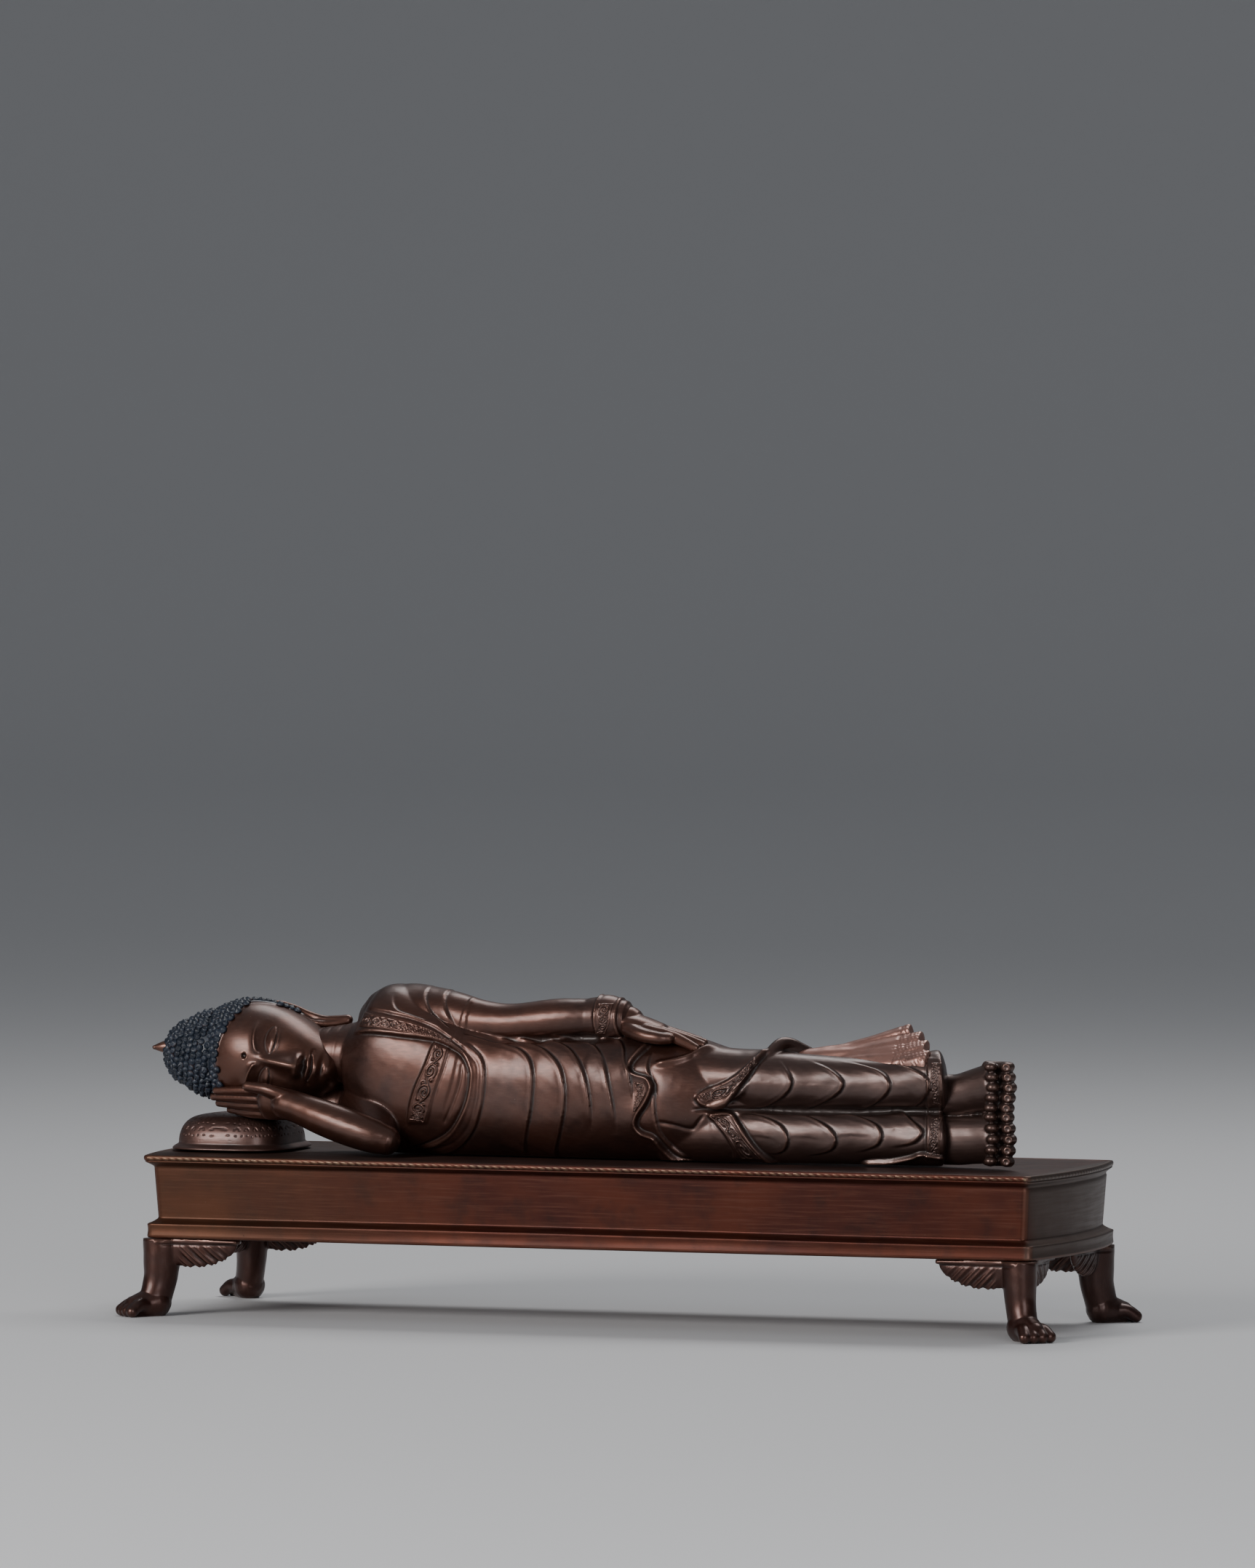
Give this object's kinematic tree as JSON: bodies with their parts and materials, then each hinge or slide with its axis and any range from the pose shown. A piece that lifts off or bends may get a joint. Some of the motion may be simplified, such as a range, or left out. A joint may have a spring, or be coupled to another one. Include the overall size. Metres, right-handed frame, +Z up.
{
  "type": "reclining buddha statue",
  "caption": "Cast bronze figure lying on its right side, head on a low pillow, on a long moulded couch with corner legs that end in toed feet.",
  "frame": {"origin": "on the ground, under the middle of the couch", "axes": "+Z up; X along the couch from the head (-X) to the feet (+X); the face looks towards -Y"},
  "size_m": [0.3924, 0.1286, 0.131],
  "materials": {
    "figure_bronze": "dark brown patinated bronze, satin, worn brighter on the high folds; the hair is painted dark blue",
    "pillow_bronze": "rosy brown patinated bronze, punched with dots and crescents",
    "couch_bronze": "reddish brown patinated bronze, satin, brushed lengthways"
  },
  "bodies": {
    "root": {"reclining_figure": "figure_bronze", "pillow": "pillow_bronze", "couch": "couch_bronze", "leg_front_left": "couch_bronze", "leg_front_right": "couch_bronze", "leg_back_left": "couch_bronze", "leg_back_right": "couch_bronze"}
  },
  "joints": []
}
